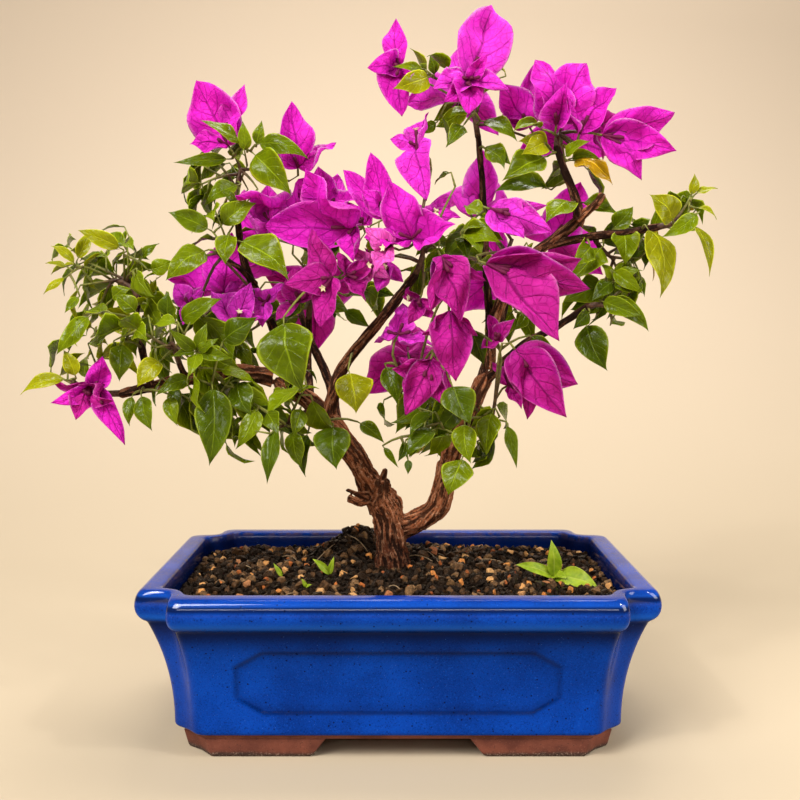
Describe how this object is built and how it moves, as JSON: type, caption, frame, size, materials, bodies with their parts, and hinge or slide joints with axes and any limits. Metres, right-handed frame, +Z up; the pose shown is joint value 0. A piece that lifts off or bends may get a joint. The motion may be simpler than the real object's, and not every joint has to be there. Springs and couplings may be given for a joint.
{
  "type": "flowering bonsai in a glazed pot",
  "caption": "Small bougainvillea bonsai with a forked trunk, leafy shoots and magenta bracts, in a low blue glazed rectangular pot with notched corners and clay feet.",
  "frame": {"origin": "on the table, under the middle of the box round the whole plant and pot", "axes": "+Z up, +X along the pot's long side to the right seen from the front, -Y towards the front"},
  "size_m": [0.3684, 0.2112, 0.3799],
  "materials": {
    "glaze": "glossy cobalt glaze, speckled, darker where it pools",
    "clay": "unglazed red-brown clay, worn dark on the lower edge",
    "soil": "loose dark granules with tan and rust pebbles",
    "bark": "fibrous, fissured reddish-brown bark",
    "foliage": "smooth, half-glossy green leaves",
    "blossom": "papery magenta bracts among green leaves"
  },
  "bodies": {
    "root": {"back_left_bough": "bark", "back_low_bough": "bark", "back_right_bough": "bark", "centre_bough": "bark", "centre_left_spur": "bark", "centre_low_spur": "bark", "foot_back_left": "clay", "foot_back_right": "clay", "foot_front_left": "clay", "foot_front_right": "clay", "left_arm": "bark", "left_bough": "bark", "left_foot_spur": "bark", "left_front_spur": "bark", "left_rear_spur": "bark", "left_riser": "bark", "left_under_spur": "bark", "left_upper_bough": "bark", "left_whorl_spur": "bark", "mass_back_left": "blossom", "mass_back_low": "foliage", "mass_back_right": "blossom", "mass_centre": "blossom", "mass_centre_left": "blossom", "mass_centre_low": "blossom", "mass_left_crown": "blossom", "mass_left_foot": "foliage", "mass_left_front": "foliage", "mass_left_rear": "foliage", "mass_left_tip": "foliage", "mass_left_under": "foliage", "mass_left_upper": "foliage", "mass_left_whorl": "foliage", "mass_right_centre": "blossom", "mass_right_low": "blossom", "mass_right_low_tip": "foliage", "mass_right_mid": "foliage", "mass_right_tip": "foliage", "mass_right_top": "blossom", "mass_top": "blossom", "pot_base": "clay", "pot_body": "glaze", "right_bough": "bark", "right_centre_spur": "bark", "right_limb": "bark", "right_low_limb": "bark", "right_low_spur": "bark", "right_mid_spur": "bark", "right_tip_limb": "bark", "right_top_limb": "bark", "soil": "soil", "top_stem": "bark", "trunk": "bark"}
  },
  "joints": []
}
